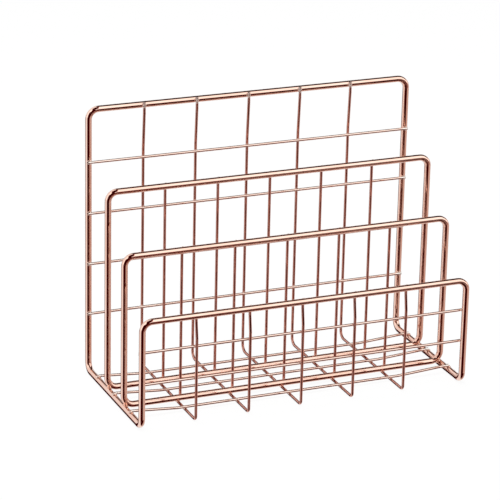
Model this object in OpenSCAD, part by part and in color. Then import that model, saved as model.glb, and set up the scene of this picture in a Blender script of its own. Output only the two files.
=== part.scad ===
// Wire file sorter: a wire tray bent into a U, with two divider loops that make three slots.
// X runs across, Y to the back and Z up. The origin lies under the middle of the base.

/* [Overall size] */
// Width over the side wires
width = 175; // [130:1:240]
// Depth over the back and the front panel
depth = 80; // [70:1:120]
// Height of the back panel
height = 140; // [125:1:220]
// Height of the front panel
front_h = 57; // [45:0.5:80]

/* [Wire] */
// Diameter of the heavy wire in the frame and the divider loops
heavy_d = 3.2; // [2.4:0.1:4]
// Diameter of the light wire in the grid
light_d = 1.4; // [1:0.1:2]
// How deep two wires press into each other at a weld
weld_set = 0.2; // [0.05:0.05:0.4]
// How far the back and front cross wires' cut ends stop short of the frame's outside
end_inset = 0.8; // [0:0.1:1.6]
// How far the base cross wires' cut ends stop short of the frame's outside
base_end_inset = 1.5; // [0:0.1:1.6]
// How far the long wires' cut ends stop below the top of the back panel's bar
tip_short = 0.2; // [0:0.1:1]
// How far the cut ends behind the front panel's and the dividers' bars stop below their tops
hidden_tip_short = 1; // [0:0.1:1.2]

/* [Bends] */
// Bend radius of the frame's top corners, to the middle of the wire
frame_corner_r = 5; // [3.5:0.1:14]
// Bend radius of the frame between the back panel and the base
frame_heel_r = 4.6; // [3:0.1:12]
// Bend radius of the frame between the base and the front panel
frame_toe_r = 4.2; // [3:0.1:8]
// Bend radius of the long wires between the back panel and the base
long_heel_r = 4; // [2:0.1:12]
// Bend radius of the long wires between the base and the front panel
long_toe_r = 2.2; // [1.2:0.1:6]
// Bend radius of the dividers' top corners
divider_corner_r = 4.7; // [3.5:0.1:14]

/* [Dividers] */
// Height of the rear divider
rear_divider_h = 106.5; // [90:0.5:120]
// Height of the front divider
front_divider_h = 81.5; // [60:0.5:100]
// Place of the rear divider, behind the middle
rear_divider_y = 10; // [4:0.5:16]
// Place of the front divider, ahead of the middle
front_divider_y = -13.5; // [-18:0.5:-8]
// Gap between the foot of a divider wire and the long wires under it
foot_gap = 0.3; // [0.2:0.1:1]

/* [Grid] */
// Distance between neighbouring upright wires
wire_pitch = 27.8; // [20:0.1:29]
// How far the long wires lie to the side of the middle
long_wire_shift = -2; // [-4:0.1:4]
// Distance between the back cross wires, counted down from the top bar
back_row_pitch = 26.5; // [20:0.1:28]
// Distance between the front cross wires, counted down from the top bar
front_row_pitch = 16.5; // [10:0.1:20]
// Distance between the base cross wires, the middle one lying under the middle of the sorter
base_row_pitch = 23.3; // [20:0.1:26]
// Distance along a light wire from a crossing to where it starts to step over
step_run = 4; // [3:0.5:6]

/* [Hidden] */
$fn = 48;
UPRIGHTS = 5;
BACK_ROWS = 4;
BASE_ROWS = 3;
FRONT_ROWS = 2;
SLIGHT = 0;
KNUCKLE = 1.03;
CORE = 0.5;
BEND_STEP = 0.1;
WIRE_COLOUR = [0.86, 0.62, 0.53];
LOOP_COLOUR = [0.80, 0.54, 0.45];

// Axes of the frame's wires
heavy_r = heavy_d / 2;
side_x = width / 2 - heavy_r;
base_z = heavy_r;
back_y = depth / 2 - heavy_r;
back_bar_z = height - heavy_r;
front_y = heavy_r - depth / 2;
front_bar_z = front_h - heavy_r;

// Distance between the axes of two welded wires
on_heavy = (heavy_d + light_d) / 2 - weld_set;
on_light = light_d - weld_set;
heavy_on_heavy = heavy_d - weld_set;

// Layers: cross wires lie on the frame's inside, and the long wires lie under the cross wires
long_inset = on_heavy - on_light;
long_z = light_d / 2;
cross_end_x = width / 2 - end_inset;
base_end_x = width / 2 - base_end_inset;
cross_end_z = base_z + on_heavy;
cross_mid_z = long_z + on_light;
divider_z = long_z + on_heavy;
divider_foot_z = light_d + foot_gap;
step_end_x = side_x - heavy_r;

// A divider's bottom corners are rounded just so far that they seat on the frame's side wires
foot_rise = divider_z - base_z;
foot_diff = heavy_on_heavy - foot_rise;
foot_r_exact = foot_diff + sqrt(foot_diff ^ 2 + heavy_on_heavy ^ 2 - foot_rise ^ 2);
divider_foot_r = round(foot_r_exact / BEND_STEP) * BEND_STEP;

// Length of the stretch of a wire that presses a seat into a crossing wire
seat_l = 4 * heavy_d;

// Place across the sorter of upright number i, counted from the left
function upright_x(i) = (i - (UPRIGHTS + 1) / 2) * wire_pitch;
function long_x(i) = upright_x(i) + long_wire_shift;

// Heights of the cross wires, and places of the base cross wires, row 1 being the top or the rear one
function back_row_z(row) = back_bar_z - row * back_row_pitch;
function front_row_z(row) = front_bar_z - row * front_row_pitch;
function base_row_y(row) = ((BASE_ROWS + 1) / 2 - row) * base_row_pitch;

// Unit vectors: from one point to the next, and square to a direction
function heading(a, b) = (b - a) / norm(b - a);
function square_to(w) =
    let (side = cross(w, is_lying(w) ? [0, 0, 1] : [1, 0, 0]))
    side / norm(side);

// Whether a direction is nearer to level than to upright
function is_lying(w) = abs(w.z) < norm([w.x, w.y]);

// Half of the angle that a wire turns through at corner b
function half_turn(a, b, c) = acos(heading(a, b) * heading(b, c)) / 2;

// Children with their X axis along u and their Z axis along w
module aim(at, u, w) {
    v = cross(w, u);
    multmatrix([
        [u.x, v.x, w.x, at.x],
        [u.y, v.y, w.y, at.y],
        [u.z, v.z, w.z, at.z],
        [0, 0, 0, 1]
    ]) children();
}

// Straight wire from a to b
module run(a, b, d) {
    w = heading(a, b);
    aim(a, square_to(w), w) cylinder(h = norm(b - a), d = d);
}

// Short straight rod along w with its middle at a point
module rod(at, w, h, d) {
    aim(at, square_to(w), w) cylinder(h = h, d = d, center = true);
}

// Bend of radius r at corner b, between the runs a to b and b to c.
// A thin core across each end reaches into the run there, so that bend and run hold together at any size.
module bend(a, b, c, r, d) {
    half = half_turn(a, b, c);
    reach = r * tan(half);
    ahead = heading(a, b);
    onward = heading(b, c);
    centre = b + heading(ahead, onward) * r / cos(half);
    u = heading(centre, b - ahead * reach);
    aim(centre, u, cross(u, ahead))
        rotate_extrude(angle = 2 * half)
            translate([r, 0]) circle(d = d);
    rod(b - ahead * reach, ahead, d * CORE, d * CORE);
    rod(b + onward * reach, onward, d * CORE, d * CORE);
}

// Slight turn of a few degrees at corner b, rounded by a ball that is a little thicker than the wire
module knuckle(a, b, d) {
    translate(b) rotate([0, is_lying(b - a) ? 90 : 0, 0]) sphere(d = d * KNUCKLE);
}

// Wire through the corners of a path, with a bend radius for each corner, or SLIGHT for a knuckle
module bent_wire(path, radii, d, closed = false) {
    n = len(path);
    function corner(i) = path[(i + n) % n];
    function is_end(i) = !closed && (i == 0 || i == n - 1);
    function reach(i) =
        is_end(i) ? 0 : radii[i % n] * tan(half_turn(corner(i - 1), corner(i), corner(i + 1)));
    for (i = [0 : closed ? n - 1 : n - 2]) {
        ahead = heading(corner(i), corner(i + 1));
        run(corner(i) + ahead * reach(i), corner(i + 1) - ahead * reach(i + 1), d);
    }
    for (i = [0 : n - 1]) {
        if (!is_end(i) && radii[i] > SLIGHT) bend(corner(i - 1), corner(i), corner(i + 1), radii[i], d);
        if (!is_end(i) && radii[i] == SLIGHT) knuckle(corner(i - 1), corner(i), d);
    }
}

// Stretch of a wire that another wire is welded on, taken away where that one seats
module seat(at, w, d) {
    rod(at, w, seat_l, d);
}

// Closed loop of heavy wire bent into a U: the outline of the back, the base and the front
module frame_loop() {
    path = [
        [-side_x, back_y, back_bar_z],
        [side_x, back_y, back_bar_z],
        [side_x, back_y, base_z],
        [side_x, front_y, base_z],
        [side_x, front_y, front_bar_z],
        [-side_x, front_y, front_bar_z],
        [-side_x, front_y, base_z],
        [-side_x, back_y, base_z]
    ];
    radii = [
        frame_corner_r, frame_corner_r, frame_heel_r, frame_toe_r,
        frame_corner_r, frame_corner_r, frame_toe_r, frame_heel_r
    ];
    color(LOOP_COLOUR) bent_wire(path, radii, heavy_d, closed = true);
}

// Light wire bent into a U, from the inside of the back bar along the base to the inside of the front bar
module long_wire(i) {
    x = long_x(i);
    bar_y = back_y - on_heavy;
    run_y = back_y - long_inset;
    lip_y = front_y + on_heavy;
    toe_y = front_y + long_inset;
    path = [
        [x, bar_y, height - tip_short],
        [x, bar_y, back_bar_z - step_run],
        [x, run_y, back_row_z(1) + step_run],
        [x, run_y, long_z],
        [x, toe_y, long_z],
        [x, toe_y, front_row_z(1) + step_run],
        [x, lip_y, front_bar_z - step_run],
        [x, lip_y, front_h - hidden_tip_short]
    ];
    radii = [0, SLIGHT, SLIGHT, long_heel_r, long_toe_r, SLIGHT, SLIGHT, 0];
    color(WIRE_COLOUR) difference() {
        bent_wire(path, radii, light_d);
        seat([x, back_y, back_bar_z], [1, 0, 0], heavy_d);
        seat([x, rear_divider_y, divider_z], [1, 0, 0], heavy_d);
        seat([x, front_divider_y, divider_z], [1, 0, 0], heavy_d);
        seat([x, front_y, front_bar_z], [1, 0, 0], heavy_d);
    }
}

// Straight light wire across the inside of the back panel
module back_cross_wire(row) {
    y = back_y - on_heavy;
    z = back_row_z(row);
    color(WIRE_COLOUR) difference() {
        run([-cross_end_x, y, z], [cross_end_x, y, z], light_d);
        for (x = [-side_x, side_x]) seat([x, back_y, z], [0, 0, 1], heavy_d);
        for (i = [1 : UPRIGHTS]) seat([long_x(i), back_y - long_inset, z], [0, 0, 1], light_d);
    }
}

// Light wire across the base, set down from the side wires onto the long wires
module base_cross_wire(row) {
    y = base_row_y(row);
    path = [
        [-base_end_x, y, cross_end_z],
        [-step_end_x, y, cross_end_z],
        [long_x(1) - step_run, y, cross_mid_z],
        [long_x(UPRIGHTS) + step_run, y, cross_mid_z],
        [step_end_x, y, cross_end_z],
        [base_end_x, y, cross_end_z]
    ];
    radii = [0, SLIGHT, SLIGHT, SLIGHT, SLIGHT, 0];
    color(WIRE_COLOUR) difference() {
        bent_wire(path, radii, light_d);
        for (x = [-side_x, side_x]) seat([x, y, base_z], [0, 1, 0], heavy_d);
        for (i = [1 : UPRIGHTS]) seat([long_x(i), y, long_z], [0, 1, 0], light_d);
    }
}

// Straight light wire across the inside of the front panel
module front_cross_wire(row) {
    y = front_y + on_heavy;
    z = front_row_z(row);
    color(WIRE_COLOUR) difference() {
        run([-cross_end_x, y, z], [cross_end_x, y, z], light_d);
        for (x = [-side_x, side_x]) seat([x, front_y, z], [0, 0, 1], heavy_d);
        for (i = [1 : UPRIGHTS]) seat([long_x(i), front_y + long_inset, z], [0, 0, 1], light_d);
    }
}

// Closed loop of heavy wire that stands on the long wires, with its bottom corners on the side wires
module divider_loop(y, h) {
    bar_z = h - heavy_r;
    path = [
        [-side_x, y, divider_z],
        [side_x, y, divider_z],
        [side_x, y, bar_z],
        [-side_x, y, bar_z]
    ];
    radii = [divider_foot_r, divider_foot_r, divider_corner_r, divider_corner_r];
    color(LOOP_COLOUR) difference() {
        bent_wire(path, radii, heavy_d, closed = true);
        for (x = [-side_x, side_x]) seat([x, y, base_z], [0, 1, 0], heavy_d);
    }
}

// Upright light wire on the back of a divider's two bars
module divider_wire(i, y, h) {
    x = upright_x(i);
    color(WIRE_COLOUR) difference() {
        run([x, y + on_heavy, divider_foot_z], [x, y + on_heavy, h - hidden_tip_short], light_d);
        for (z = [divider_z, h - heavy_r]) seat([x, y, z], [1, 0, 0], heavy_d);
    }
}

module rear_divider_loop() divider_loop(rear_divider_y, rear_divider_h);
module front_divider_loop() divider_loop(front_divider_y, front_divider_h);
module rear_divider_wire(i) divider_wire(i, rear_divider_y, rear_divider_h);
module front_divider_wire(i) divider_wire(i, front_divider_y, front_divider_h);

frame_loop();
rear_divider_loop();
front_divider_loop();
for (i = [1 : UPRIGHTS]) {
    long_wire(i);
    rear_divider_wire(i);
    front_divider_wire(i);
}
for (row = [1 : BACK_ROWS]) {
    back_cross_wire(row);
}
for (row = [1 : BASE_ROWS]) {
    base_cross_wire(row);
}
for (row = [1 : FRONT_ROWS]) {
    front_cross_wire(row);
}
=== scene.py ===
"""Looks of the wire file sorter: rose-gold plating, weld beads, a soft studio and the camera."""

import logging
import math
from dataclasses import dataclass, field
from enum import Enum
from typing import Any, Iterator, Mapping, Union

import bmesh
import bpy
from mathutils import Matrix, Vector

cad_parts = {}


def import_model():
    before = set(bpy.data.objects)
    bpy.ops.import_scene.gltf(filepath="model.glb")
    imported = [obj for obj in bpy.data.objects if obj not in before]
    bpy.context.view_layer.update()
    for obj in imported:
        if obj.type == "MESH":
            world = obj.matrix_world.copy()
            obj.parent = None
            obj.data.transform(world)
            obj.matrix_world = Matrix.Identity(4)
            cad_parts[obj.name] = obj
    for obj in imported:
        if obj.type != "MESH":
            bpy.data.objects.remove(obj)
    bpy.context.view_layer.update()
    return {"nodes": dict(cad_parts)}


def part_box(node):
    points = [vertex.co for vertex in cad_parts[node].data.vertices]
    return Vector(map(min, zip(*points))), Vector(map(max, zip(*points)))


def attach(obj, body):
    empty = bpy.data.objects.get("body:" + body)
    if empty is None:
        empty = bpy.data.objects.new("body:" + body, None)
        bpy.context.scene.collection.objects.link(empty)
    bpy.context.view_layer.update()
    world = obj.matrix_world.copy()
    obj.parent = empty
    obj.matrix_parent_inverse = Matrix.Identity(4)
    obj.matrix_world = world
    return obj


LOG = logging.getLogger("file_sorter")
MM = 0.001
DEGREES = 180.0 / math.pi
BODY = "root"
DIVIDER_LOOP = "{}_divider_loop"
UPRIGHTS = range(1, 6)
BACK_ROWS = range(1, 5)
BASE_ROWS = range(1, 4)
FRONT_ROWS = range(1, 3)
ACROSS = Vector((1, 0, 0))
BACKWARD = Vector((0, 1, 0))
UPWARD = Vector((0, 0, 1))
WHITE = (1.0, 1.0, 1.0, 1.0)
MIX_FACTOR = 0
MIX_COLOURS = (6, 7)
MIX_RESULT = 2
THIN_RIPPLE = 0.0015 * MM

Colour = tuple[float, float, float]
Point = tuple[float, float, float]
Span = tuple[float, float]
Number = Union[int, float]


class Signal:
    """The value of one shader socket, with operators that add Math nodes."""

    def __init__(self, graph: "Graph", socket: bpy.types.NodeSocket) -> None:
        """Keep the socket and the graph it belongs to.

        Args:
            graph: The graph that new nodes go into.
            socket: The output socket that holds the value.
        """
        self.graph = graph
        self.socket = socket

    def math(self, operation: str, *values: Union["Signal", Number]) -> "Signal":
        """Add a Math node.

        Args:
            operation: Name of the Math node's operation.
            values: Its inputs, in order.

        Returns:
            The node's result.
        """
        return self.graph.node("ShaderNodeMath", {"operation": operation}, dict(enumerate(values)))

    def __add__(self, other: Union["Signal", Number]) -> "Signal":
        """Sum."""
        return self.math("ADD", self, other)

    def __radd__(self, other: Number) -> "Signal":
        """Sum with a number on the left."""
        return self.math("ADD", other, self)

    def __sub__(self, other: Union["Signal", Number]) -> "Signal":
        """Difference."""
        return self.math("SUBTRACT", self, other)

    def __rsub__(self, other: Number) -> "Signal":
        """Difference from a number on the left."""
        return self.math("SUBTRACT", other, self)

    def __mul__(self, other: Union["Signal", Number]) -> "Signal":
        """Product."""
        return self.math("MULTIPLY", self, other)

    def __rmul__(self, other: Number) -> "Signal":
        """Product with a number on the left."""
        return self.math("MULTIPLY", other, self)

    def __neg__(self) -> "Signal":
        """The value with its sign turned."""
        return self.math("MULTIPLY", self, -1.0)

    def __abs__(self) -> "Signal":
        """The value without its sign."""
        return self.math("ABSOLUTE", self)

    def maximum(self, other: "Signal") -> "Signal":
        """The larger of two values."""
        return self.math("MAXIMUM", self, other)

    def rise(self, low: Number, high: Number) -> "Signal":
        """Smooth step from 0 at low to 1 at high.

        Args:
            low: Value at which the step starts.
            high: Value at which it ends.

        Returns:
            A value from 0 to 1.
        """
        return self.graph.node(
            "ShaderNodeMapRange",
            {"interpolation_type": "SMOOTHSTEP"},
            {"Value": self, "From Min": low, "From Max": high},
        )

    def fall(self, low: Number, high: Number) -> "Signal":
        """Smooth step from 1 at low to 0 at high."""
        return 1.0 - self.rise(low, high)


class Graph:
    """A node tree, and the one method that fills it."""

    def __init__(self, tree: bpy.types.NodeTree) -> None:
        """Empty the tree.

        Args:
            tree: The node tree of a material or a world.
        """
        self.tree = tree
        self.tree.nodes.clear()

    def node(
        self,
        kind: str,
        settings: Mapping[str, Any],
        sockets: Mapping[Union[str, int], Any],
        output: Union[str, int] = 0,
    ) -> Signal:
        """Add a node.

        Args:
            kind: Blender's name of the node type.
            settings: Properties of the node, set first.
            sockets: Values or links of its inputs, by name or number.
            output: Name or number of the output to return.

        Returns:
            The chosen output, or the last input's socket for a node with no output.
        """
        node = self.tree.nodes.new(kind)
        for name, setting in settings.items():
            setattr(node, name, setting)
        for key, value in sockets.items():
            if isinstance(value, Signal):
                self.tree.links.new(value.socket, node.inputs[key])
            else:
                node.inputs[key].default_value = value
        return Signal(self, node.outputs[output] if node.outputs else node.inputs[-1])

    def blend(self, factor: Union[Signal, Number], low: Any, high: Any) -> Signal:
        """Mix two colours.

        Args:
            factor: Share of the second colour.
            low: Colour or link at factor 0.
            high: Colour or link at factor 1.

        Returns:
            The mixed colour.
        """
        ends = [value if isinstance(value, Signal) else (*value, 1.0) for value in (low, high)]
        sockets = {MIX_FACTOR: factor, **dict(zip(MIX_COLOURS, ends))}
        return self.node("ShaderNodeMix", {"data_type": "RGBA"}, sockets, MIX_RESULT)

    def noise(self, place: Signal, size: float, detail: float, uneven: float = 0.5) -> Signal:
        """Add noise.

        Args:
            place: Coordinates, in metres.
            size: Rough size of one patch, in metres.
            detail: Number of finer layers.
            uneven: Strength of each finer layer.

        Returns:
            A value around 0.5.
        """
        sockets = {"Vector": place, "Scale": 1.0 / size, "Detail": detail, "Roughness": uneven}
        return self.node("ShaderNodeTexNoise", {"noise_dimensions": "3D"}, sockets)


class Tone(Enum):
    """Lighter and deeper colour of each kind of piece, with painted shade and a painted highlight in two
    kinds.
    """

    LOOP = ((0.94, 0.66, 0.55), (0.88, 0.53, 0.41))
    # Rose-gold plating made paler than the loop's: a painted highlight, since the plating is the same on
    # every wire.
    CROSS_WIRE = ((0.92, 0.69, 0.60), (0.80, 0.52, 0.43))
    # Rose-gold plating made darker than the loop's: painted shade that stands in for the dark reflections on
    # thin wire.
    UPRIGHT_WIRE = ((0.68, 0.34, 0.27), (0.50, 0.20, 0.145))
    BEAD = ((0.97, 0.80, 0.71), (0.94, 0.66, 0.55))


class CutAxis(Enum):
    """Direction of the wires whose cut ends show."""

    NONE = -1
    ACROSS = 0
    UPRIGHT = 2


@dataclass(frozen=True)
class Plating:
    """Bright rose-gold plating over drawn steel wire.

    Lengths are in metres. A share is how much of a colour, or of the haze, is added, and a span is where a
    mask starts and ends. Cut ends are at cut_at along cut_axis, to both sides for wires that run across, and
    at front_cut_at for uprights ahead of the sorter's middle.
    """

    name: str
    rose: Colour
    copper: Colour
    steel: Colour = (0.70, 0.55, 0.49)
    gloss: float = 0.04
    haze: float = 0.05
    drift: float = 26 * MM
    drift_span: Span = (0.32, 0.68)
    drift_share: float = 0.55
    cloud: float = 5.2 * MM
    cloud_span: Span = (0.35, 0.75)
    cloud_share: float = 0.25
    ripple: float = 3.2 * MM
    ripple_height: float = 0.003 * MM
    pit: float = 0.28 * MM
    pit_span: Span = (0.58, 0.75)
    pit_share: float = 0.6
    pit_height: float = 0.0012 * MM
    cut_axis: CutAxis = CutAxis.NONE
    cut_at: float = 0.0
    front_cut_at: float = 0.0
    cut_edge: float = 0.12 * MM
    cut_haze: float = 0.10
    steel_share: float = 0.8
    pale: Colour = (0.98, 0.86, 0.79)
    pale_share: float = 0.9
    pale_reach: float = 3.4 * MM
    pale_fade: float = 1.02 * MM
    pale_haze: float = 0.70

    def material(self) -> bpy.types.Material:
        """Make the finish as a material.

        Returns:
            A material on Object coordinates.
        """
        made = bpy.data.materials.new(self.name)
        made.use_nodes = True
        graph = Graph(made.node_tree)
        place = graph.node("ShaderNodeTexCoord", {}, {}, "Object")
        drift = graph.noise(place, self.drift, detail=3.0).rise(*self.drift_span)
        cloud = graph.noise(place, self.cloud, detail=4.0, uneven=0.6).rise(*self.cloud_span)
        pits = graph.noise(place, self.pit, detail=2.0)
        colour = graph.blend(drift * self.drift_share + cloud * self.cloud_share, self.rose, self.copper)
        rough = self.gloss + cloud * self.haze + pits.rise(*self.pit_span) * (self.haze * self.pit_share)
        if self.cut_axis is not CutAxis.NONE:
            end, heated = self._cut_end(graph, place)
            colour = graph.blend(heated * self.pale_share, colour, self.pale)
            colour = graph.blend(end * self.steel_share, colour, self.steel)
            rough = rough + heated * self.pale_haze + end * self.cut_haze
        wave = graph.noise(place, self.ripple, detail=1.0) * self.ripple_height + pits * self.pit_height
        bump = graph.node("ShaderNodeBump", {}, {"Strength": 1.0, "Distance": 1.0, "Height": wave})
        skin = graph.node(
            "ShaderNodeBsdfPrincipled",
            {},
            {"Base Color": colour, "Metallic": 1.0, "Roughness": rough, "Normal": bump},
        )
        graph.node("ShaderNodeOutputMaterial", {}, {"Surface": skin})
        return made

    def _cut_end(self, graph: Graph, place: Signal) -> tuple[Signal, Signal]:
        """Mask the cut ends and the wire next to them, which the weld has paled.

        Args:
            graph: The material's graph.
            place: Object coordinates.

        Returns:
            1 on the cut and 0 along the wire, and the same for the paled stretch.
        """
        along = graph.node("ShaderNodeSeparateXYZ", {}, {0: place}, self.cut_axis.value)
        if self.cut_axis is CutAxis.ACROSS:
            past = abs(along) - self.cut_at
        else:
            rear = graph.node("ShaderNodeSeparateXYZ", {}, {0: place}, "Y").rise(-MM, MM)
            past = along - (self.front_cut_at + rear * (self.cut_at - self.front_cut_at))
        heated = past.rise(-self.pale_reach, self.pale_fade - self.pale_reach)
        return past.rise(-self.cut_edge, 0.0), heated


@dataclass(frozen=True)
class Gauge:
    """Radii of the heavy and the light wire, and how deep a weld sets them into each other, in metres."""

    heavy: float
    light: float
    set_in: float = 0.2 * MM

    @classmethod
    def measured(cls) -> "Gauge":
        """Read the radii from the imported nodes."""
        loop, wire = size_of(DIVIDER_LOOP.format("rear")), size_of("rear_divider_wire_1")
        return cls(heavy=loop.y / 2, light=wire.x / 2)


def middle_of(node: str) -> Vector:
    """Middle of a CAD node's box.

    Args:
        node: The node's name.

    Returns:
        The point, in metres.
    """
    low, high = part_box(node)
    return (low + high) / 2


def size_of(node: str) -> Vector:
    """Sides of a CAD node's box.

    Args:
        node: The node's name.

    Returns:
        Its size along X, Y and Z, in metres.
    """
    low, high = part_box(node)
    return high - low


def front_top(piece: bpy.types.Object) -> float:
    """Height of the part of a piece that is ahead of the sorter's middle.

    Args:
        piece: The object to measure.

    Returns:
        Its highest point there, in metres.
    """
    return max(vert.co.z for vert in piece.data.vertices if vert.co.y < 0)


def set_along(right: Vector, up: Vector, out: Vector, place: Vector) -> Matrix:
    """Matrix that puts X, Y and Z along three directions, with the origin at a place."""
    return Matrix.Translation(place) @ Matrix((right, up, out)).transposed().to_4x4()


@dataclass(frozen=True)
class Weld:
    """One weld: its place, the way from the carrier to the rider, the carrier's run and both radii."""

    place: Vector
    normal: Vector
    along: Vector
    carrier: float
    rider: float


@dataclass
class WeldRow:
    """All the welds of one panel, as one piece of small beads.

    A bead on light wire reaches past the seat's rim by spread, and thickness is half its depth.
    """

    name: str
    welds: list[Weld]
    gauge: Gauge
    finish: bpy.types.Material
    spread: float = 0.42 * MM
    thickness: float = 0.20 * MM
    facets: int = 20
    rings: int = 10

    def build(self) -> bpy.types.Object:
        """Make the beads and let them ride on the sorter.

        Returns:
            The finished piece.
        """
        bm = bmesh.new()
        for weld in self.welds:
            self._bead(bm, weld)
        for face in bm.faces:
            face.smooth = True
        mesh = bpy.data.meshes.new(self.name)
        bm.to_mesh(mesh)
        bm.free()
        mesh.materials.append(self.finish)
        piece = bpy.data.objects.new(self.name, mesh)
        bpy.context.scene.collection.objects.link(piece)
        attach(piece, BODY)
        return piece

    def _bead(self, bm: bmesh.types.BMesh, weld: Weld) -> None:
        """Add one bead: a lens that is bent into the saddle between two crossing wires.

        Args:
            bm: The mesh to add to.
            weld: The weld that the bead is for.
        """
        ball = bmesh.ops.create_uvsphere(bm, u_segments=self.facets, v_segments=self.rings, radius=1.0)
        verts = ball["verts"]
        reach = self.spread * math.sqrt(weld.carrier / self.gauge.light)
        along = math.sqrt(2 * weld.rider * self.gauge.set_in) + reach
        across = math.sqrt(2 * weld.carrier * self.gauge.set_in) + reach
        bmesh.ops.scale(bm, vec=(along, across, self.thickness), verts=verts)
        for vert in verts:
            up = vert.co.x**2 / (2 * weld.rider)
            down = vert.co.y**2 / (2 * weld.carrier)
            layer = vert.co.z / self.thickness
            vert.co.z += (up - down) / 2 + layer * (up + down) / 2
        seat = set_along(weld.along, weld.normal.cross(weld.along), weld.normal, weld.place)
        bmesh.ops.transform(bm, matrix=seat, verts=verts)


@dataclass
class Tray:
    """The U-shaped tray: the frame loop with its long wires and cross wires."""

    nodes: dict[str, bpy.types.Object]
    gauge: Gauge
    loop_finish: bpy.types.Material
    # The long wires' plating, darkened with painted shade.
    long_finish: bpy.types.Material
    # The cross wires' plating, paled with a painted highlight.
    cross_finish: bpy.types.Material
    weld_finish: bpy.types.Material
    long_wires: list[str] = field(default_factory=lambda: [f"long_wire_{i}" for i in UPRIGHTS])
    back_rows: list[str] = field(default_factory=lambda: [f"back_cross_wire_{i}" for i in BACK_ROWS])
    base_rows: list[str] = field(default_factory=lambda: [f"base_cross_wire_{i}" for i in BASE_ROWS])
    front_rows: list[str] = field(default_factory=lambda: [f"front_cross_wire_{i}" for i in FRONT_ROWS])

    @property
    def side_x(self) -> float:
        """Distance of the frame's side wires from the middle."""
        return size_of("frame_loop").x / 2 - self.gauge.heavy

    def dress(self) -> None:
        """Plate every wire of the tray."""
        plate(self.nodes["frame_loop"], self.loop_finish)
        for name in self.long_wires:
            plate(self.nodes[name], self.long_finish)
        for name in self.back_rows + self.base_rows + self.front_rows:
            plate(self.nodes[name], self.cross_finish)

    def weld_rows(self) -> Iterator[WeldRow]:
        """Gather the welds of the back, the base and the front.

        Returns:
            One row for each of them.
        """
        for name, welds in (
            ("back_welds", self._back_welds()),
            ("base_welds", self._base_welds()),
            ("front_welds", self._front_welds()),
        ):
            yield WeldRow(name, list(welds), self.gauge, self.weld_finish)

    def _back_welds(self) -> Iterator[Weld]:
        """Place the welds of the back panel.

        Returns:
            The cross wires on the frame and on the long wires, then the long wires on the top bar.
        """
        heavy, light, half_set = self.gauge.heavy, self.gauge.light, self.gauge.set_in / 2
        for row in self.back_rows:
            at = middle_of(row)
            seat_y = at.y + light - half_set
            for x in (-self.side_x, self.side_x):
                yield Weld(Vector((x, seat_y, at.z)), -BACKWARD, UPWARD, heavy, light)
            for wire in self.long_wires:
                yield Weld(Vector((middle_of(wire).x, seat_y, at.z)), -BACKWARD, UPWARD, light, light)
        bar_y = middle_of(self.back_rows[0]).y + light - half_set
        bar_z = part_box("frame_loop")[1].z - heavy
        for wire in self.long_wires:
            yield Weld(Vector((middle_of(wire).x, bar_y, bar_z)), -BACKWARD, ACROSS, heavy, light)

    def _base_welds(self) -> Iterator[Weld]:
        """Place the welds of the base.

        Returns:
            The cross wires on the frame's side wires and on the long wires.
        """
        heavy, light, half_set = self.gauge.heavy, self.gauge.light, self.gauge.set_in / 2
        side_z, long_z = 2 * heavy - half_set, 2 * light - half_set
        for row in self.base_rows:
            y = middle_of(row).y
            for x in (-self.side_x, self.side_x):
                yield Weld(Vector((x, y, side_z)), UPWARD, BACKWARD, heavy, light)
            for wire in self.long_wires:
                yield Weld(Vector((middle_of(wire).x, y, long_z)), UPWARD, BACKWARD, light, light)

    def _front_welds(self) -> Iterator[Weld]:
        """Place the welds of the front panel.

        Returns:
            The cross wires on the frame and on the long wires, then the long wires on the top bar.
        """
        heavy, light, half_set = self.gauge.heavy, self.gauge.light, self.gauge.set_in / 2
        for row in self.front_rows:
            at = middle_of(row)
            seat_y = at.y - light + half_set
            for x in (-self.side_x, self.side_x):
                yield Weld(Vector((x, seat_y, at.z)), BACKWARD, UPWARD, heavy, light)
            for wire in self.long_wires:
                yield Weld(Vector((middle_of(wire).x, seat_y, at.z)), BACKWARD, UPWARD, light, light)
        bar_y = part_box("frame_loop")[0].y + 2 * heavy - half_set
        bar_z = front_top(self.nodes["frame_loop"]) - heavy
        for wire in self.long_wires:
            yield Weld(Vector((middle_of(wire).x, bar_y, bar_z)), BACKWARD, ACROSS, heavy, light)


class Place(Enum):
    """Which divider."""

    REAR = "rear"
    FRONT = "front"


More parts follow.
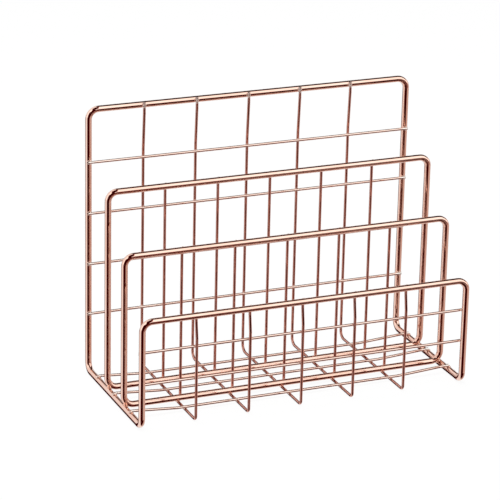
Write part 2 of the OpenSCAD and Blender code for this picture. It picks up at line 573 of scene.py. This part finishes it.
@dataclass
class Divider:
    """One divider: a closed loop with upright wires on its back."""

    place: Place
    nodes: dict[str, bpy.types.Object]
    gauge: Gauge
    long_wires: list[str]
    loop_finish: bpy.types.Material
    # The uprights' plating, darkened with painted shade.
    wire_finish: bpy.types.Material
    weld_finish: bpy.types.Material

    @property
    def loop(self) -> str:
        """Name of the loop's node."""
        return DIVIDER_LOOP.format(self.place.value)

    @property
    def wires(self) -> list[str]:
        """Names of the upright wires' nodes."""
        return [f"{self.place.value}_divider_wire_{i}" for i in UPRIGHTS]

    def dress(self) -> None:
        """Plate the loop and its wires."""
        plate(self.nodes[self.loop], self.loop_finish)
        for name in self.wires:
            plate(self.nodes[name], self.wire_finish)

    def weld_row(self) -> WeldRow:
        """The welds of this divider."""
        name = f"{self.place.value}_divider_welds"
        return WeldRow(name, list(self._welds()), self.gauge, self.weld_finish)

    def _welds(self) -> Iterator[Weld]:
        """Place the welds of this divider.

        Returns:
            The wires on the two bars, the bottom bar on the long wires and the corners on the frame.
        """
        heavy, light, half_set = self.gauge.heavy, self.gauge.light, self.gauge.set_in / 2
        low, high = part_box(self.loop)
        y = (low.y + high.y) / 2
        bottom_z, top_z = low.z + heavy, high.z - heavy
        for name in self.wires:
            for z in (bottom_z, top_z):
                seat = Vector((middle_of(name).x, y + heavy - half_set, z))
                yield Weld(seat, BACKWARD, ACROSS, heavy, light)
        for name in self.long_wires:
            seat = Vector((middle_of(name).x, y, bottom_z - heavy + half_set))
            yield Weld(seat, -UPWARD, ACROSS, heavy, light)
        for side in (-1, 1):
            yield self._corner_weld(side, y, bottom_z)

    def _corner_weld(self, side: int, y: float, bottom_z: float) -> Weld:
        """Weld of one bottom corner on the frame's side wire.

        Args:
            side: -1 for the left corner, 1 for the right one.
            y: Place of the divider.
            bottom_z: Height of the bottom bar's axis.

        Returns:
            The weld.
        """
        heavy = self.gauge.heavy
        side_x = size_of(self.loop).x / 2 - heavy
        rise = bottom_z - heavy
        gap = 2 * heavy - self.gauge.set_in
        short = gap - rise
        bend = short + math.sqrt(short**2 + gap**2 - rise**2)
        normal = Vector((-side * bend, 0, rise + bend)).normalized()
        seat = Vector((side * side_x, y, heavy)) + normal * (heavy - self.gauge.set_in / 2)
        return Weld(seat, normal, BACKWARD, heavy, heavy)


def plate(piece: bpy.types.Object, finish: bpy.types.Material) -> None:
    """Give a piece one finish all over.

    Args:
        piece: The object to dress.
        finish: Its material.
    """
    piece.data.materials.clear()
    piece.data.materials.append(finish)
    LOG.info("plated %s with %s", piece.name, finish.name)


@dataclass(frozen=True)
class PhotoCamera:
    """The camera at the photograph's place, for a square image. Lengths are in metres, the sensor in mm."""

    azimuth: float = math.radians(-23.090)
    elevation: float = math.radians(20.108)
    roll: float = math.radians(1.285)
    distance: float = 1.32338
    aim: Point = (-0.01506, 0.0, 0.07028)
    focal_px: float = 2681.8
    image_px: float = 500.0
    sensor: float = 36.0

    @property
    def back(self) -> Vector:
        """Direction from the sorter to the camera.

        Returns:
            A vector of length 1.
        """
        flat = math.cos(self.elevation)
        x, y = math.sin(self.azimuth) * flat, -math.cos(self.azimuth) * flat
        return Vector((x, y, math.sin(self.elevation)))

    def build(self) -> bpy.types.Object:
        """Make the camera and use it for the scene.

        Returns:
            The camera.
        """
        data = bpy.data.cameras.new("camera")
        data.sensor_width = self.sensor
        data.lens = self.focal_px / self.image_px * self.sensor
        camera = bpy.data.objects.new("camera", data)
        right = (-self.back).cross(UPWARD).normalized()
        up = right.cross(-self.back)
        tilted_right = math.cos(self.roll) * right + math.sin(self.roll) * up
        tilted_up = math.cos(self.roll) * up - math.sin(self.roll) * right
        place = Vector(self.aim) + self.back * self.distance
        camera.matrix_world = set_along(tilted_right, tilted_up, self.back, place)
        bpy.context.scene.collection.objects.link(camera)
        bpy.context.scene.camera = camera
        return camera


@dataclass(frozen=True)
class Tent:
    """The white light tent with dark openings that the wires mirror.

    The canopy is brightest and the right wall is dimmer than the left. A dark card hangs at the right, from
    overhead to the rear. The opening at the front, the gap above it and the ground behind are dark.
    A span is where a soft edge starts and ends. Those of the right wall, the canopy's foot and the opening
    are in degrees, the two fades are in shares of the shade, and the others are in parts of the direction
    along X, Y or Z, from -1 to 1.
    """

    canopy: Colour = (1.36, 1.45, 1.45)
    left_wall: Colour = (0.95, 0.98, 1.00)
    right_wall: Colour = (0.64, 0.51, 0.47)
    rear_card: Colour = (0.04, 0.02, 0.015)
    fringe: Colour = (0.44, 0.06, 0.04)
    dark: Colour = (0.04, 0.001, 0.0008)
    right_wall_start: Span = (-10.0, 5.0)
    right_wall_end: Span = (120.0, 140.0)
    canopy_foot: Span = (-5.0, 3.0)
    canopy_rear: Span = (-0.10, 0.25)
    card_front: Span = (-0.18, -0.04)
    card_foot: Span = (0.18, 0.26)
    card_side: Span = (0.08, 0.20)
    gap_left: Span = (-0.46, -0.36)
    gap_right: Span = (0.16, 0.28)
    gap_foot: Span = (0.25, 0.40)
    gap_rear: Span = (-0.06, 0.06)
    ground_top: Span = (-0.20, -0.08)
    ground_front: Span = (0.70, 0.80)
    fringe_fade: Span = (0.0, 0.45)
    dark_fade: Span = (0.35, 0.9)
    opening_left: float = -62.0
    opening_right: float = 50.0
    opening_top: float = 34.0
    opening_right_top: float = 4.0
    opening_left_edge: Span = (-8.0, 6.0)
    opening_right_edge: Span = (-10.0, 6.0)
    opening_top_edge: Span = (-4.0, 4.0)
    opening_top_step: Span = (-2.0, 12.0)
    flap_right: float = 17.0
    flap_tilt: float = -20.5
    flap_edge: Span = (3.4, 5.4)

    def build(self) -> None:
        """Make the world: white to the camera, and the tent to everything else."""
        world = bpy.data.worlds.new("tent")
        world.use_nodes = True
        bpy.context.scene.world = world
        graph = Graph(world.node_tree)
        seen = graph.node("ShaderNodeLightPath", {}, {}, "Is Camera Ray")
        white = graph.node("ShaderNodeBackground", {}, {"Color": WHITE, "Strength": 1.0})
        tent = graph.node("ShaderNodeBackground", {}, {"Color": self._colour(graph), "Strength": 1.0})
        mixed = graph.node("ShaderNodeMixShader", {}, {0: seen, 1: tent, 2: white})
        graph.node("ShaderNodeOutputWorld", {}, {"Surface": mixed})

    def _colour(self, graph: Graph) -> Signal:
        """Paint the tent by direction.

        Args:
            graph: The world's graph.

        Returns:
            The colour seen in each direction.
        """
        ray = graph.node("ShaderNodeTexCoord", {}, {}, "Generated")
        x, y, z = (graph.node("ShaderNodeSeparateXYZ", {}, {0: ray}, axis) for axis in "XYZ")
        turn = x.math("ARCTAN2", x, -y) * DEGREES
        tilt = z.math("ARCSINE", z) * DEGREES
        on_right = turn.rise(*self.right_wall_start) * turn.fall(*self.right_wall_end)
        walls = graph.blend(on_right, self.left_wall, self.right_wall)
        overhead = tilt.rise(*self.canopy_foot) * y.fall(*self.canopy_rear)
        roofed = graph.blend(overhead, walls, self.canopy)
        card = y.rise(*self.card_front) * z.rise(*self.card_foot) * x.rise(*self.card_side)
        carded = graph.blend(card, roofed, self.rear_card)
        ground = z.fall(*self.ground_top) * y.rise(*self.ground_front)
        gap_across = x.rise(*self.gap_left) * x.fall(*self.gap_right)
        gap = gap_across * z.rise(*self.gap_foot) * y.fall(*self.gap_rear)
        shade = ground.maximum(gap).maximum(self._opening(turn, tilt))
        fringed = graph.blend(shade.rise(*self.fringe_fade), carded, self.fringe)
        return graph.blend(shade.rise(*self.dark_fade), fringed, self.dark)

    def _opening(self, turn: Signal, tilt: Signal) -> Signal:
        """Mask the dark opening at the front, which is higher on the left, with a flap on its right.

        Args:
            turn: Degrees from the front to the right.
            tilt: Degrees above the horizon.

        Returns:
            1 in the opening.
        """
        flap = abs(tilt - self.flap_tilt).fall(*self.flap_edge)
        right = self.opening_right - flap * (self.opening_right - self.flap_right)
        drop = self.opening_top - self.opening_right_top
        top = self.opening_top - turn.rise(*self.opening_top_step) * drop
        from_left = (turn - self.opening_left).rise(*self.opening_left_edge)
        from_right = (right - turn).rise(*self.opening_right_edge)
        return from_right * from_left * (top - tilt).rise(*self.opening_top_edge)


@dataclass(frozen=True)
class Studio:
    """A pale floor, one soft lamp overhead and the tent around them, in metres and watts.

    To the camera, floor_shown is the share of plain white in the floor, and the rest keeps the faint shadow.
    """

    floor_side: float = 8.0
    floor_z: float = -0.1 * MM
    floor_colour: Colour = (0.93, 0.93, 0.93)
    floor_shown: float = 0.93
    lamp_side: float = 0.9
    lamp_height: float = 1.1
    lamp_power: float = 10.5

    def build(self) -> None:
        """Make the floor, the lamp and the surroundings."""
        self._floor()
        self._lamp()
        Tent().build()
        bpy.context.scene.view_settings.view_transform = "Standard"

    def _floor(self) -> bpy.types.Object:
        """Make the floor.

        Returns:
            A large pale plane that keeps the sorter's faint shadow.
        """
        bm = bmesh.new()
        bmesh.ops.create_grid(bm, x_segments=1, y_segments=1, size=self.floor_side / 2)
        bmesh.ops.translate(bm, vec=(0, 0, self.floor_z), verts=bm.verts)
        mesh = bpy.data.meshes.new("floor")
        bm.to_mesh(mesh)
        bm.free()
        floor = bpy.data.objects.new("floor", mesh)
        bpy.context.scene.collection.objects.link(floor)
        finish = bpy.data.materials.new("pale_floor")
        finish.use_nodes = True
        graph = Graph(finish.node_tree)
        seen = graph.node("ShaderNodeLightPath", {}, {}, "Is Camera Ray")
        plain = graph.node("ShaderNodeBsdfDiffuse", {}, {"Color": (*self.floor_colour, 1.0)})
        white = graph.node("ShaderNodeEmission", {}, {"Color": WHITE, "Strength": 1.0})
        skin = graph.node("ShaderNodeMixShader", {}, {0: seen * self.floor_shown, 1: plain, 2: white})
        graph.node("ShaderNodeOutputMaterial", {}, {"Surface": skin})
        mesh.materials.append(finish)
        floor.visible_glossy = False
        return floor

    def _lamp(self) -> None:
        """Hang the soft lamp over the sorter, facing down."""
        data = bpy.data.lights.new("overhead_lamp", "AREA")
        data.shape = "SQUARE"
        data.size = self.lamp_side
        data.energy = self.lamp_power
        lamp = bpy.data.objects.new("overhead_lamp", data)
        lamp.location = (0, 0, self.lamp_height)
        lamp.visible_glossy = False
        bpy.context.scene.collection.objects.link(lamp)


def main() -> None:
    """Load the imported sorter, dress it and set up the studio and the camera."""
    logging.basicConfig(level=logging.INFO)
    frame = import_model()
    nodes = frame["nodes"]
    PhotoCamera().build()
    Studio().build()
    gauge = Gauge.measured()
    loop = Plating("rose_gold_loop", *Tone.LOOP.value).material()
    # Plating of the cross wires, paled with a painted highlight.
    cross = Plating(
        "rose_gold_cross_wire_painted_highlight",
        *Tone.CROSS_WIRE.value,
        ripple_height=THIN_RIPPLE,
        cut_axis=CutAxis.ACROSS,
        cut_at=size_of("back_cross_wire_1").x / 2,
        pale_haze=0.12,
    ).material()
    # Plating of the long wires, darkened with painted shade.
    long = Plating(
        "rose_gold_long_wire_painted_shade",
        *Tone.UPRIGHT_WIRE.value,
        ripple_height=THIN_RIPPLE,
        cut_axis=CutAxis.UPRIGHT,
        cut_at=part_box("long_wire_1")[1].z,
        front_cut_at=front_top(nodes["long_wire_1"]),
    ).material()
    bead = Plating(
        "rose_gold_weld",
        *Tone.BEAD.value,
        gloss=0.26,
        haze=0.15,
        pit_height=0.006 * MM,
    ).material()
    tray = Tray(nodes, gauge, loop, long, cross, bead)
    tray.dress()
    rows = list(tray.weld_rows())
    for place in Place:
        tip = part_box(f"{place.value}_divider_wire_1")[1].z
        # Plating of the uprights, darkened with painted shade.
        upright = Plating(
            f"rose_gold_{place.value}_upright",
            *Tone.UPRIGHT_WIRE.value,
            ripple_height=THIN_RIPPLE,
            cut_axis=CutAxis.UPRIGHT,
            cut_at=tip,
            front_cut_at=tip,
        ).material()
        divider = Divider(place, nodes, gauge, tray.long_wires, loop, upright, bead)
        divider.dress()
        rows.append(divider.weld_row())
    for row in rows:
        piece = row.build()
        LOG.info("made %s with %d beads", piece.name, len(row.welds))


if __name__ == "__main__":
    main()
